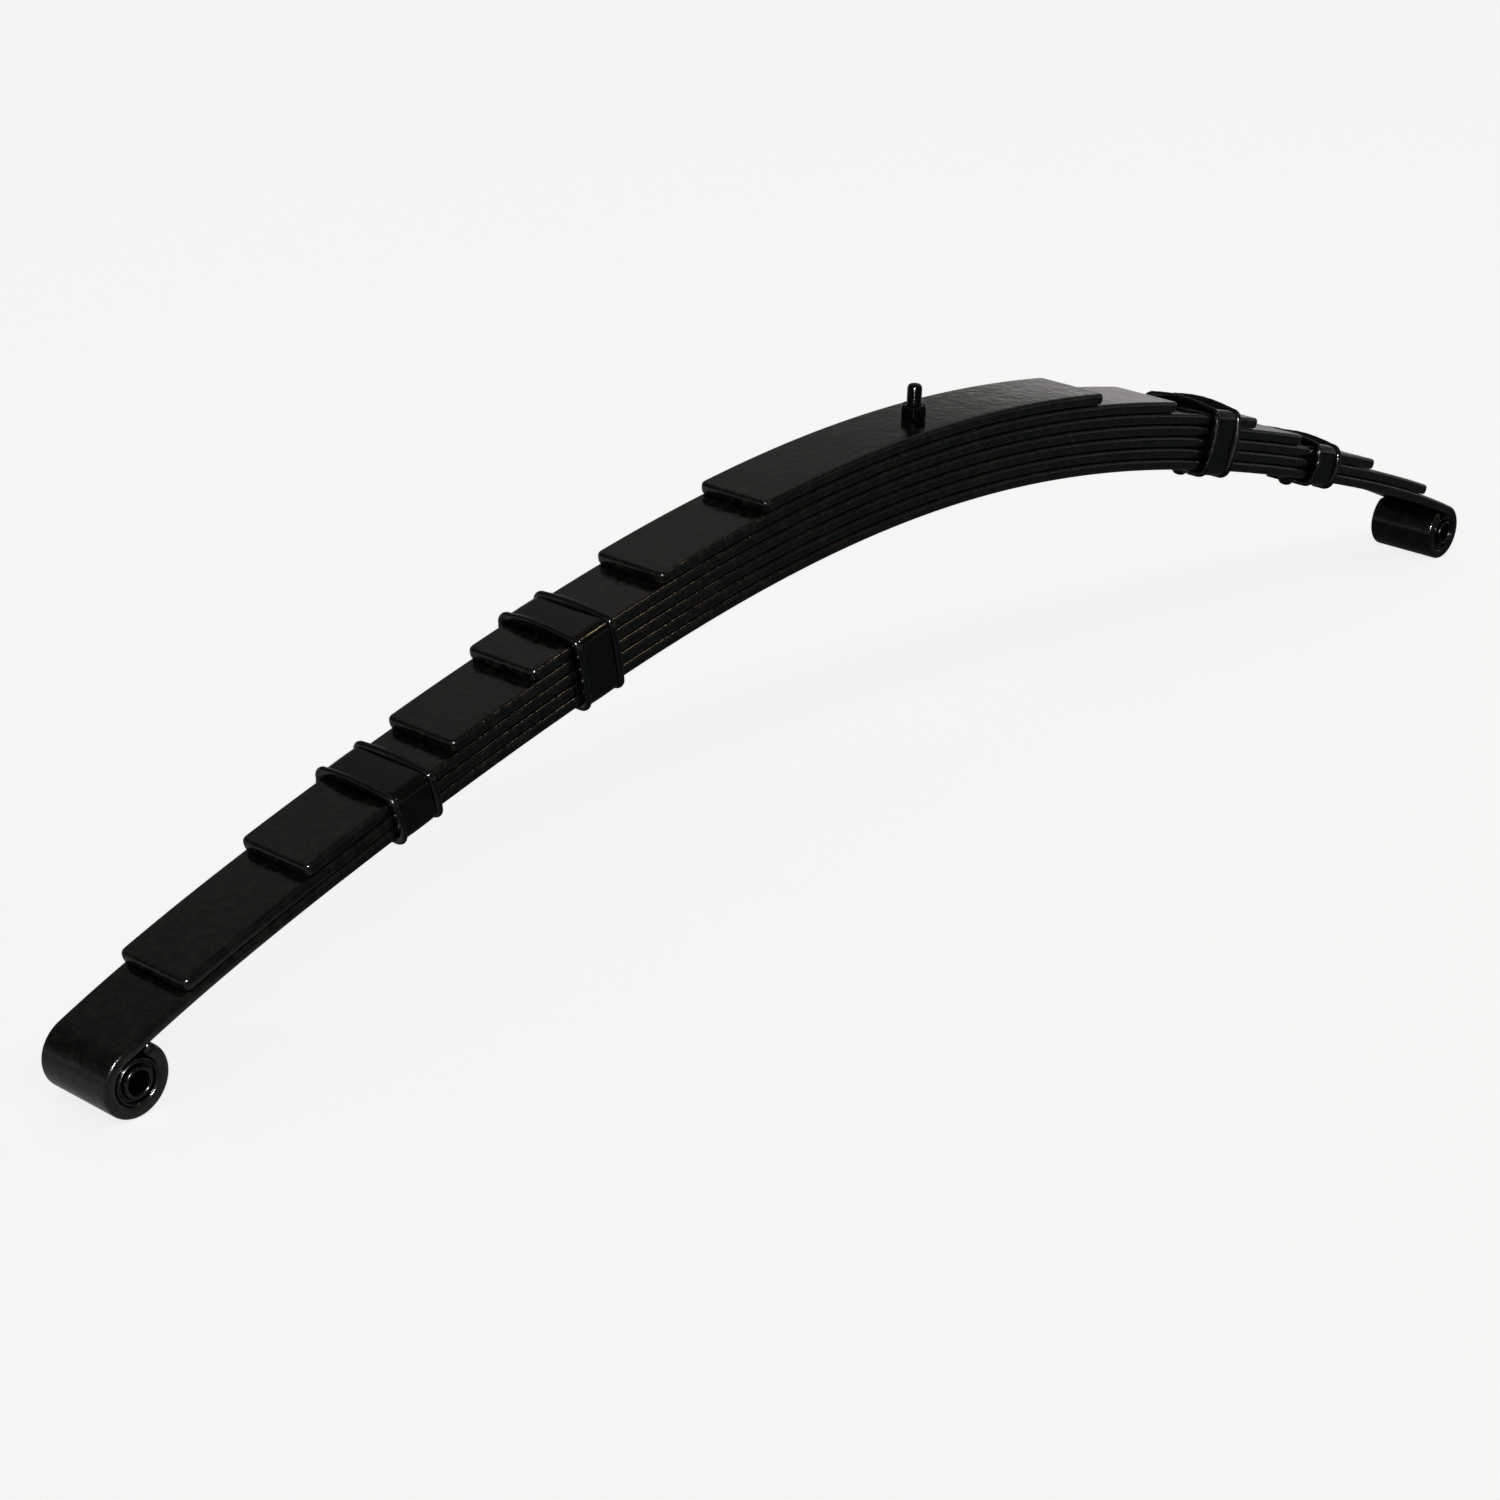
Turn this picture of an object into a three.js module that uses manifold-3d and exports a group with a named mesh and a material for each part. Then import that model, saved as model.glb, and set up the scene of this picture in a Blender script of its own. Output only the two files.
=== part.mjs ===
// Seven-leaf semi-elliptic leaf spring, standing arch-up on its two eyes.
// Millimetres. +X runs along the spring, +Y across the leaves, +Z up through the pack to the nut.
// The origin is under the middle of the spring, on the surface that the eyes stand on.
import * as THREE from 'three';
import { mergeVertices } from 'three/addons/utils/BufferGeometryUtils.js';
import Module from 'manifold-3d';

// ---- driving dimensions -------------------------------------------------------------------

// Leaves. Half lengths are measured along the arch from the centre bolt.
const LEAF_WIDTH = 44.45;
const LEAF_THICK = 6.35;
const LEAF_GAP = 0.2;
const LEAF_PITCH = LEAF_THICK + LEAF_GAP;
const LEAF_EDGE = 1.3;
const SHORT_LEAVES = [517, 442, 349, 295, 207.5, 134.5];
const NOSE_TOP_RADIUS = 3.4;
const NOSE_BOTTOM_RADIUS = 2.2;
const SEAT_HALF = 12.5;
const STATION_STEP = 25;

// Arch of the main leaf's underside: its slope angle is a sum of odd powers of s / ARCH_UNIT.
const ARCH_UNIT = 600;
const ARCH_TURN = [0.6694, -0.7801, 0.6362];

// Eyes, rolled under at both ends of the main leaf.
const EYE_START = 555.4;
const EYE_OUTER = 17.45;
const EYE_BORE = EYE_OUTER - LEAF_THICK;
const EYE_TIP_GAP = 0.5;
const EYE_TIP_ANGLE = 46;
const EYE_STEP = 12;

// Eye bushes: a steel shell, a rubber ring and the inner sleeve that turns in it.
const SHELL = { inner: 9.95, outer: 10.85, half: 22.0, chamfer: 0.3 };
const RUBBER = { inner: 7.85, outer: 9.75, half: 21.6, chamfer: 0.7 };
const SLEEVE = { inner: 5.6, outer: 7.6, half: 23.4, chamfer: 0.5 };
const ROUND_SEGMENTS = 28;

// Centre bolt and nut, 5/16 inch.
const BOLT_RADIUS = 3.97;
const BOLT_HOLE = 4.3;
const BOLT_HEAD = { radius: 6.75, height: 8, chamfer: 0.9 };
const BOLT_STANDS_PROUD = 17.9;
const BOLT_TIP = 2.2;
const SEAT_GAP = 0.25;
const NUT = { flats: 12.7, height: 6.75, bore: 4.2, chamfer: 0.8, turn: 39 };

// Pack clips: a riveted steel band in a rubber channel with raised lips.
const CLIP_PLACES = [
  { name: 'left_outer', s: -378, leaves: 3 },
  { name: 'left_inner', s: -256.5, leaves: 5 },
  { name: 'right_inner', s: 256.5, leaves: 5 },
  { name: 'right_outer', s: 378, leaves: 3 },
];
const LINER = { inner: 0.3, outer: 1.2, width: 26, lipTop: 4.0, lipWidth: 3.2, lipRound: 1.0, end: 13 };
const BAND = { inner: 1.4, outer: 2.8, width: 18.8, lap: 8, lapGap: 0.3, stepFrom: 12.5, stepTo: 9.5 };
const BAND_HOLE = 2.25;
const RIVET = { shank: 2.0, headRadius: 4.2, headHeight: 2.4, footRadius: 3.4, gap: 0.25, foot: 0.45 };
const CORNER_STEPS = 3;

// ---- materials ----------------------------------------------------------------------------

const FINISH = {
  leaf: { color: 0x161615, roughness: 0.22, metalness: 0.1 },
  band: { color: 0x1a1918, roughness: 0.16, metalness: 0.1 },
  liner: { color: 0x24262a, roughness: 0.35, metalness: 0.0 },
  fastener: { color: 0x121414, roughness: 0.28, metalness: 0.3 },
  shell: { color: 0x1d1e1f, roughness: 0.3, metalness: 0.3 },
  rubber: { color: 0x1b1b1b, roughness: 0.6, metalness: 0.0 },
  sleeve: { color: 0x2a2a29, roughness: 0.3, metalness: 0.6 },
};

function namedMesh(name, geometry, finish) {
  const mesh = new THREE.Mesh(geometry, new THREE.MeshStandardMaterial(FINISH[finish]));
  mesh.name = name;
  return mesh;
}

// ---- cutting and joining ------------------------------------------------------------------

const wasm = await Module();
wasm.setup();

function toSolid(geometry) {
  const bare = geometry.clone();
  bare.deleteAttribute('normal');
  bare.deleteAttribute('uv');
  const merged = mergeVertices(bare, 1e-4);
  return new wasm.Manifold(new wasm.Mesh({
    numProp: 3,
    vertProperties: new Float32Array(merged.attributes.position.array),
    triVerts: new Uint32Array(merged.index.array),
  }));
}

function toGeometry(solid) {
  const mesh = solid.getMesh();
  const geometry = new THREE.BufferGeometry();
  geometry.setAttribute('position', new THREE.BufferAttribute(new Float32Array(mesh.vertProperties), 3));
  geometry.setIndex(new THREE.BufferAttribute(new Uint32Array(mesh.triVerts), 1));
  geometry.computeVertexNormals();
  return geometry;
}

// A round pin along Z, for cutting holes.
function pinAlongZ(radius, zLow, zHigh, segments = ROUND_SEGMENTS) {
  const pin = new THREE.CylinderGeometry(radius, radius, zHigh - zLow, segments);
  pin.rotateX(Math.PI / 2);
  pin.translate(0, 0, (zLow + zHigh) / 2);
  return toSolid(pin);
}

// A turned ring along Y with chamfered ends.
function turnedRing({ inner, outer, half, chamfer }) {
  const profile = [
    [inner, -half + chamfer], [inner + chamfer, -half], [outer - chamfer, -half], [outer, -half + chamfer],
    [outer, half - chamfer], [outer - chamfer, half], [inner + chamfer, half], [inner, half - chamfer],
    [inner, -half + chamfer],
  ];
  return new THREE.LatheGeometry(profile.map(([r, y]) => new THREE.Vector2(r, y)), ROUND_SEGMENTS);
}

// A turned piece along Z, from (radius, z) points that start and end on the axis.
function turnedAlongZ(points, segments = ROUND_SEGMENTS) {
  const piece = new THREE.LatheGeometry(points.map(([r, z]) => new THREE.Vector2(r, z)), segments);
  piece.rotateX(Math.PI / 2);
  return piece;
}

// An outline in the XZ plane, given as [x, z] points, extruded along Y about y = 0.
function extrudeAcross(outline, width, edge) {
  const shape = new THREE.Shape(outline.map(([x, z]) => new THREE.Vector2(x, z)));
  const solid = new THREE.ExtrudeGeometry(shape, {
    depth: width - 2 * edge,
    bevelEnabled: true,
    bevelThickness: edge,
    bevelSize: edge,
    bevelOffset: -edge,
    bevelSegments: 1,
  });
  solid.translate(0, 0, -(width - 2 * edge) / 2);
  solid.rotateX(Math.PI / 2);
  return solid;
}

// An outline in the YZ plane, given as [y, z] points, extruded along X from xLow to xHigh.
function extrudeAlong(outline, xLow, xHigh, edge = 0) {
  const shape = new THREE.Shape(outline.map(([y, z]) => new THREE.Vector2(y, z)));
  const solid = new THREE.ExtrudeGeometry(shape, {
    depth: xHigh - xLow - 2 * edge,
    bevelEnabled: edge > 0,
    bevelThickness: edge,
    bevelSize: edge,
    bevelOffset: -edge,
    bevelSegments: 1,
  });
  solid.translate(0, 0, xLow + edge);
  solid.applyMatrix4(new THREE.Matrix4().set(
    0, 0, 1, 0,
    1, 0, 0, 0,
    0, 1, 0, 0,
    0, 0, 0, 1,
  ));
  return solid;
}

// ---- the arch -----------------------------------------------------------------------------

// Slope angle of the arch, s millimetres along it from the centre bolt.
function archAngle(s) {
  const u = s / ARCH_UNIT;
  return -(ARCH_TURN[0] * u + ARCH_TURN[1] * u ** 3 + ARCH_TURN[2] * u ** 5);
}

// Point [x, z] at arc length s, lifted by a height measured square to the arch.
function archPoint(s, height = 0) {
  const steps = 60;
  let x = 0;
  let z = 0;
  for (let i = 0; i < steps; i += 1) {
    const angle = archAngle((s * (i + 0.5)) / steps);
    x += (Math.cos(angle) * s) / steps;
    z += (Math.sin(angle) * s) / steps;
  }
  const angle = archAngle(s);
  return [x - Math.sin(angle) * height, z + Math.cos(angle) * height];
}

// Places along half of a leaf that every leaf shares, so that neighbouring leaves stay parallel.
function stationsUpTo(limit) {
  const stations = [];
  for (let s = SEAT_HALF; s < limit; s += STATION_STEP) stations.push(s);
  return stations;
}

// Height above the seat plane of a surface that lies `height` up the pack, at the centre bolt.
function seatHeight(height) {
  return archPoint(SEAT_HALF, height)[1];
}

// ---- leaves -------------------------------------------------------------------------------

// Rounded nose of a leaf as [s, height] points, from the top surface down to the bottom one.
function nosePoints(halfLength, bottom) {
  const top = bottom + LEAF_THICK;
  const points = [];
  for (let i = 0; i <= 3; i += 1) {
    const turn = (i / 3) * (Math.PI / 2);
    points.push([
      halfLength - NOSE_TOP_RADIUS * (1 - Math.sin(turn)),
      top - NOSE_TOP_RADIUS * (1 - Math.cos(turn)),
    ]);
  }
  for (let i = 0; i <= 2; i += 1) {
    const turn = (i / 2) * (Math.PI / 2);
    points.push([
      halfLength - NOSE_BOTTOM_RADIUS * (1 - Math.cos(turn)),
      bottom + NOSE_BOTTOM_RADIUS * (1 - Math.sin(turn)),
    ]);
  }
  return points;
}

// Side outline of a short leaf, as [x, z] points, anticlockwise from the bottom left.
function shortLeafOutline(halfLength, bottom) {
  const stations = stationsUpTo(halfLength - 2 * NOSE_TOP_RADIUS);
  const half = [
    ...stations.map((s) => [s, bottom]),
    ...nosePoints(halfLength, bottom).reverse(),
    ...stations.map((s) => [s, bottom + LEAF_THICK]).reverse(),
  ];
  const mirrored = half.map(([s, h]) => [-s, h]).reverse();
  return [...half, ...mirrored].map(([s, h]) => archPoint(s, h));
}

// Eye of the main leaf as [s, height] style points about the eye's centre, from the top surface
// round the outside to the tip, and back along the bore to the underside. Angles are in degrees
// from the direction that points back along the leaf.
function eyePoints() {
  const points = [];
  const rise = EYE_BORE - EYE_TIP_GAP;
  const tipMeetsLeaf = THREE.MathUtils.radToDeg(Math.asin(rise / EYE_OUTER));
  const polar = (radius, degrees) => {
    const turn = THREE.MathUtils.degToRad(degrees);
    return [-radius * Math.cos(turn), radius * Math.sin(turn)];
  };
  for (let a = 90 + EYE_STEP; a < 360 + tipMeetsLeaf - 2; a += EYE_STEP) points.push(polar(EYE_OUTER, a));
  points.push(polar(EYE_OUTER, 360 + tipMeetsLeaf));
  points.push(polar(rise / Math.sin(THREE.MathUtils.degToRad(EYE_TIP_ANGLE)), EYE_TIP_ANGLE));
  points.push(polar(EYE_BORE, EYE_TIP_ANGLE));
  for (let a = 360 + EYE_STEP * 3; a > 90; a -= EYE_STEP) points.push(polar(EYE_BORE, a));
  return points;
}

// Side outline of the main leaf with both eyes.
function mainLeafOutline() {
  const stations = stationsUpTo(EYE_START - 8);
  const [eyeX, eyeZ] = archPoint(EYE_START, LEAF_THICK - EYE_OUTER);
  const tilt = archAngle(EYE_START);
  const eye = eyePoints().map(([along, up]) => [
    eyeX + along * Math.cos(tilt) - up * Math.sin(tilt),
    eyeZ + along * Math.sin(tilt) + up * Math.cos(tilt),
  ]);
  const half = [
    ...stations.map((s) => archPoint(s, 0)),
    archPoint(EYE_START, 0),
    ...eye.reverse(),
    archPoint(EYE_START, LEAF_THICK),
    ...stations.map((s) => archPoint(s, LEAF_THICK)).reverse(),
  ];
  const mirrored = half.map(([x, z]) => [-x, z]).reverse();
  return [...half, ...mirrored];
}

function drilledLeaf(outline, bottom) {
  const blank = toSolid(extrudeAcross(outline, LEAF_WIDTH, LEAF_EDGE));
  const pin = pinAlongZ(BOLT_HOLE, bottom - LEAF_THICK, bottom + 2 * LEAF_THICK);
  return toGeometry(blank.subtract(pin));
}

function makeLeaves() {
  const leaves = [namedMesh('main_leaf', drilledLeaf(mainLeafOutline(), 0), 'leaf')];
  SHORT_LEAVES.forEach((halfLength, i) => {
    const bottom = (i + 1) * LEAF_PITCH;
    const geometry = drilledLeaf(shortLeafOutline(halfLength, bottom), bottom);
    leaves.push(namedMesh(`leaf_${i + 2}`, geometry, 'leaf'));
  });
  return leaves;
}

// ---- centre bolt and nut ------------------------------------------------------------------

const PACK_TOP = seatHeight(SHORT_LEAVES.length * LEAF_PITCH + LEAF_THICK);

function makeCentreBolt() {
  const headTop = seatHeight(0) - SEAT_GAP;
  const headBottom = headTop - BOLT_HEAD.height;
  const tip = PACK_TOP + BOLT_STANDS_PROUD;
  return namedMesh('centre_bolt', turnedAlongZ([
    [0, headBottom],
    [BOLT_HEAD.radius - BOLT_HEAD.chamfer, headBottom],
    [BOLT_HEAD.radius, headBottom + BOLT_HEAD.chamfer],
    [BOLT_HEAD.radius, headTop],
    [BOLT_RADIUS, headTop],
    [BOLT_RADIUS, tip - BOLT_TIP],
    [BOLT_RADIUS * 0.85, tip - BOLT_TIP * 0.4],
    [BOLT_RADIUS * 0.5, tip],
    [0, tip],
  ], 24), 'fastener');
}

function makeNut() {
  const bottom = PACK_TOP + SEAT_GAP;
  const corner = NUT.flats / Math.sqrt(3);
  const hexagon = new THREE.CylinderGeometry(corner, corner, NUT.height, 6);
  hexagon.rotateX(Math.PI / 2);
  hexagon.rotateZ(THREE.MathUtils.degToRad(NUT.turn + 30));
  hexagon.translate(0, 0, bottom + NUT.height / 2);
  const flat = NUT.flats / 2;
  const cone = turnedAlongZ([
    [0, bottom],
    [flat, bottom],
    [corner + 0.05, bottom + NUT.chamfer],
    [corner + 0.05, bottom + NUT.height - NUT.chamfer],
    [flat, bottom + NUT.height],
    [0, bottom + NUT.height],
  ]);
  const bore = pinAlongZ(NUT.bore, bottom - 1, bottom + NUT.height + 1, 24);
  const nut = toSolid(hexagon).intersect(toSolid(cone)).subtract(bore);
  return namedMesh('centre_bolt_nut', toGeometry(nut), 'fastener');
}

// ---- eye bushes ---------------------------------------------------------------------------

function makeBush(side) {
  const bush = new THREE.Group();
  const [x, z] = archPoint(EYE_START, LEAF_THICK - EYE_OUTER);
  bush.position.set(side === 'left' ? -x : x, 0, z);
  bush.add(namedMesh(`bush_shell_${side}`, turnedRing(SHELL), 'shell'));
  bush.add(namedMesh(`bush_rubber_${side}`, turnedRing(RUBBER), 'rubber'));
  bush.add(namedMesh(`bush_sleeve_${side}`, turnedRing(SLEEVE), 'sleeve'));
  return bush;
}

// ---- clips --------------------------------------------------------------------------------

// Points on a quarter circle about [cy, cz], from one angle to another, in degrees.
function corner(cy, cz, radius, from, to) {
  const points = [];
  for (let i = 0; i <= CORNER_STEPS; i += 1) {
    const turn = THREE.MathUtils.degToRad(from + ((to - from) * i) / CORNER_STEPS);
    points.push([cy + radius * Math.cos(turn), cz + radius * Math.sin(turn)]);
  }
  return points;
}

// Path round the pack at a distance from it, from the underside's +Y half, up the +Y side,
// over the top and down the -Y side to the underside's -Y half. The two ends are left open.
function wrapPath(packHeight, distance) {
  const y = LEAF_WIDTH / 2 - LEAF_EDGE;
  const low = LEAF_EDGE;
  const high = packHeight - LEAF_EDGE;
  const radius = LEAF_EDGE + distance;
  return [
    ...corner(y, low, radius, -90, 0),
    ...corner(y, high, radius, 0, 90),
    ...corner(-y, high, radius, 90, 180),
    ...corner(-y, low, radius, 180, 270),
  ];
}

// A strip that follows the wrap between two distances and ends at y = +end and -end underneath.
function openWrap(packHeight, near, far, end) {
  return [
    [end, -near],
    [end, -far],
    ...wrapPath(packHeight, far),
    [-end, -far],
    [-end, -near],
    ...wrapPath(packHeight, near).reverse(),
  ];
}

function makeLiner(packHeight) {
  const half = LINER.width / 2;
  const base = toSolid(extrudeAlong(openWrap(packHeight, LINER.inner, LINER.outer, LINER.end), -half, half));
  const root = (LINER.inner + LINER.outer) / 2;
  const lip = openWrap(packHeight, root, LINER.lipTop, LINER.end);
  const lips = [[-half, -half + LINER.lipWidth], [half - LINER.lipWidth, half]];
  const solid = lips.reduce(
    (sum, [xLow, xHigh]) => sum.add(toSolid(extrudeAlong(lip, xLow, xHigh, LINER.lipRound))),
    base,
  );
  return toGeometry(solid);
}

// The band goes right round. Its +Y end lies against the pack and its -Y end steps down to lap it.
function makeBand(packHeight) {
  const drop = BAND.outer - BAND.inner + BAND.lapGap;
  const outline = [
    [-BAND.lap, -BAND.inner],
    [-BAND.lap, -BAND.outer],
    ...wrapPath(packHeight, BAND.outer),
    [-BAND.stepFrom, -BAND.outer],
    [-BAND.stepTo, -BAND.outer - drop],
    [BAND.lap, -BAND.outer - drop],
    [BAND.lap, -BAND.inner - drop],
    [-BAND.stepTo, -BAND.inner - drop],
    [-BAND.stepFrom, -BAND.inner],
    ...wrapPath(packHeight, BAND.inner).reverse(),
  ];
  const strip = toSolid(extrudeAlong(outline, -BAND.width / 2, BAND.width / 2));
  const hole = pinAlongZ(BAND_HOLE, -BAND.outer - drop - 1, -BAND.inner + 0.8, 16);
  return toGeometry(strip.subtract(hole));
}

function makeRivet() {
  const underside = -BAND.outer - (BAND.outer - BAND.inner + BAND.lapGap) - RIVET.gap;
  const footBottom = -BAND.inner + RIVET.gap;
  return turnedAlongZ([
    [0, underside - RIVET.headHeight],
    [RIVET.headRadius * 0.55, underside - RIVET.headHeight * 0.86],
    [RIVET.headRadius * 0.88, underside - RIVET.headHeight * 0.45],
    [RIVET.headRadius, underside],
    [RIVET.shank, underside],
    [RIVET.shank, footBottom],
    [RIVET.footRadius, footBottom],
    [RIVET.footRadius, -RIVET.foot],
    [0, -RIVET.foot],
  ], 16);
}

function makeClip({ name, s, leaves }) {
  const packHeight = leaves * LEAF_PITCH - LEAF_GAP;
  const clip = new THREE.Group();
  const [x, z] = archPoint(s);
  clip.position.set(x, 0, z);
  clip.rotation.y = -archAngle(s);
  clip.add(namedMesh(`clip_band_${name}`, makeBand(packHeight), 'band'));
  clip.add(namedMesh(`clip_liner_${name}`, makeLiner(packHeight), 'liner'));
  clip.add(namedMesh(`clip_rivet_${name}`, makeRivet(), 'fastener'));
  return clip;
}

// ---- the assembly -------------------------------------------------------------------------

const spring = new THREE.Group();
makeLeaves().forEach((leaf) => spring.add(leaf));
spring.add(makeCentreBolt());
spring.add(makeNut());
['left', 'right'].forEach((side) => spring.add(makeBush(side)));
CLIP_PLACES.forEach((place) => spring.add(makeClip(place)));
spring.position.z = -new THREE.Box3().setFromObject(spring, true).min.z;

export default spring;
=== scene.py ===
"""Seven-leaf semi-elliptic leaf spring in glossy black enamel, standing arch-up on its two eyes.

Shapes are worked out in millimetres in the row frame and handed to Blender in metres.
Along a leaf, s is the length along the arch from the centre bolt and h the height up through the pack.
"""

import math

import bmesh
import bpy
import numpy as np
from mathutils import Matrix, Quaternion, Vector


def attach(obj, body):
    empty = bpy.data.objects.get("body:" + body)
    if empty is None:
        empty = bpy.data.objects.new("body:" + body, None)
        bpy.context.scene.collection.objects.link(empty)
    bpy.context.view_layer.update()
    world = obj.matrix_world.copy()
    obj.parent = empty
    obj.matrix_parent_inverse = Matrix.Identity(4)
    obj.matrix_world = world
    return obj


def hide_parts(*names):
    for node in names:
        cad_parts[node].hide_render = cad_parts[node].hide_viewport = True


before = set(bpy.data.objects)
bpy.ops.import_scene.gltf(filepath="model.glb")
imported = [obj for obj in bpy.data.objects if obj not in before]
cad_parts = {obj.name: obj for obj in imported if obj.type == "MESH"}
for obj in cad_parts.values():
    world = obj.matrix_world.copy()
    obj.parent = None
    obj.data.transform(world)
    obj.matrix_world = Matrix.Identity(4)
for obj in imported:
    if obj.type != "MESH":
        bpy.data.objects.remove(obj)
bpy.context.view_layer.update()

MM = 0.001

# ---- dimensions, in millimetres -------------------------------------------------------------

LEAF_WIDTH = 44.45
LEAF_THICK = 6.35
LEAF_GAP = 0.2
LEAF_PITCH = LEAF_THICK + LEAF_GAP
SHORT_LEAVES = (517, 442, 349, 295, 207.5, 134.5)
SIDE_ROUND = 1.9
SIDE_BULGE = 0.12
NOSE_ROUND = 1.95
NOSE_UNDER = 2.0
PLAN_CORNER = 3.5
LEAF_ROW = 6.0
EYE_ROW = 1.25
HOLE_SQUARE = 8
COLUMNS = (0, HOLE_SQUARE / 2, HOLE_SQUARE, 12.2, 16.5)
RIM_STEPS = 5
CORNER_ROWS = 5

ARCH_UNIT = 600
ARCH_TURN = (0.6694, -0.7801, 0.6362)
ARCH_TOP = 151.9236

EYE_START = 555.4
EYE_BORE = 11.1
EYE_NEUTRAL = EYE_BORE + LEAF_THICK / 2
EYE_TURN = 314

SEAT_SAG = 0.0872
SEAT = ARCH_TOP - SEAT_SAG
PACK_TOP = SEAT + 6 * LEAF_PITCH + LEAF_THICK
BOLT_HOLE = 4.3
BOLT_RADIUS = 3.97
BOLT_STANDS = 17.9
HEAD_RADIUS = 6.75
HEAD_HEIGHT = 8
HEAD_GAP = 0.25
THREAD_PITCH = 1.06
THREAD_DEPTH = 0.28
THREAD_FROM = PACK_TOP - 2
NUT_FLATS = 12.7
NUT_HEIGHT = 6.75
NUT_CHAMFER = 0.95
NUT_GAP = 0.2
NUT_FLAT_TURN = 9

# place, length along the arch, leaves held, and how far the lip on its +X side bows
CLIPS = (
    ("left_outer", -378, 3, 0.45),
    ("left_inner", -256.5, 5, 0.5),
    ("right_inner", 256.5, 5, 1.0),
    ("right_outer", 378, 3, 1.0),
)
WRAP_EDGE = 2.6
LINER_INNER = 0.3
LINER_OUTER = 1.2
LINER_HALF = 13.1
LINER_END = 13
LIP_INSIDE = 9.5
LIP_HEIGHT = 4.1
LIP_ROUND = 1.75
LIP_TOP_BOW = 2.3
LIP_SIDE_BOW = 1.3
LIP_LEAST_BOW = 0.1
LIP_EAR = 1.1
LIP_RIPPLE = 0.06
BAND_INNER = 1.4
BAND_OUTER = 2.8
BAND_HALF = 9.4
BAND_CROWN = 0.15
BAND_LAP = 8
LAP_DROP = 1.7
LAP_STEP_FROM = -13.2
LAP_STEP_LENGTH = 4.4

# ---- the arch -------------------------------------------------------------------------------


def arch_angle(s):
    """Slope of the arch, in radians, at length s."""
    u = np.asarray(s, float) / ARCH_UNIT
    a, b, c = ARCH_TURN
    return -(a * u + b * u**3 + c * u**5)


TABLE_STEP = 0.25
TABLE_S = np.arange(0, 640, TABLE_STEP)
TABLE_ANGLE = arch_angle(TABLE_S[:-1] + TABLE_STEP / 2)
TABLE_X = np.concatenate([[0], np.cumsum(np.cos(TABLE_ANGLE) * TABLE_STEP)])
TABLE_Z = np.concatenate([[0], np.cumsum(np.sin(TABLE_ANGLE) * TABLE_STEP)])


def arch_point(s, height):
    """x and z of a point at length s, lifted square to the arch from the main leaf's underside."""
    s = np.asarray(s, float)
    angle = arch_angle(s)
    x = np.sign(s) * np.interp(np.abs(s), TABLE_S, TABLE_X)
    z = np.interp(np.abs(s), TABLE_S, TABLE_Z) + ARCH_TOP
    return x - np.sin(angle) * height, z + np.cos(angle) * height


def eye_centre(side):
    """x and z of an eye's centre; side is -1 for the left eye and 1 for the right."""
    return arch_point(side * EYE_START, -EYE_BORE)


def leaf_point(s, height):
    """Like arch_point, but beyond EYE_START the leaf rolls under into its eye."""
    s = np.asarray(s, float)
    side = np.where(s < 0, -1.0, 1.0)
    x, z = arch_point(np.clip(s, -EYE_START, EYE_START), height)
    centre_x, centre_z = eye_centre(side)
    angle = arch_angle(side * EYE_START)
    turn = np.maximum(np.abs(s) - EYE_START, 0) / EYE_NEUTRAL
    out = side * np.sin(turn) * (EYE_BORE + height)
    up = np.cos(turn) * (EYE_BORE + height)
    rolled = np.abs(s) > EYE_START
    x = np.where(rolled, centre_x + out * np.cos(angle) - up * np.sin(angle), x)
    z = np.where(rolled, centre_z + out * np.sin(angle) + up * np.cos(angle), z)
    return x, z


# ---- meshes ---------------------------------------------------------------------------------


def make_piece(node, points, faces, material, wear, body="pack"):
    """A closed piece that stands for a CAD node. points are in millimetres; wear is 0 to 1 at each."""
    mesh = bpy.data.meshes.new(node + "_finished")
    mesh.from_pydata([tuple(p) for p in np.asarray(points, float) * MM], [], faces)
    edge = mesh.attributes.new("edge", "FLOAT", "POINT")
    edge.data.foreach_set("value", np.asarray(wear, float))
    solid = bmesh.new()
    solid.from_mesh(mesh)
    bmesh.ops.remove_doubles(solid, verts=solid.verts, dist=1e-6)
    loose = [v for v in solid.verts if not v.link_faces]
    bmesh.ops.delete(solid, geom=loose, context="VERTS")
    bmesh.ops.recalc_face_normals(solid, faces=solid.faces)
    solid.to_mesh(mesh)
    solid.free()
    mesh.shade_smooth()
    mesh.materials.append(material)
    piece = bpy.data.objects.new(node + "_finished", mesh)
    bpy.context.scene.collection.objects.link(piece)
    normals = piece.modifiers.new("even_normals", "WEIGHTED_NORMAL")
    normals.weight = 60
    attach(piece, body)
    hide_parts(node)
    return piece


def ring_faces(first, second):
    """Quads between two equal rings of point numbers."""
    count = len(first)
    return [
        (first[i], first[(i + 1) % count], second[(i + 1) % count], second[i]) for i in range(count)
    ]


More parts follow.
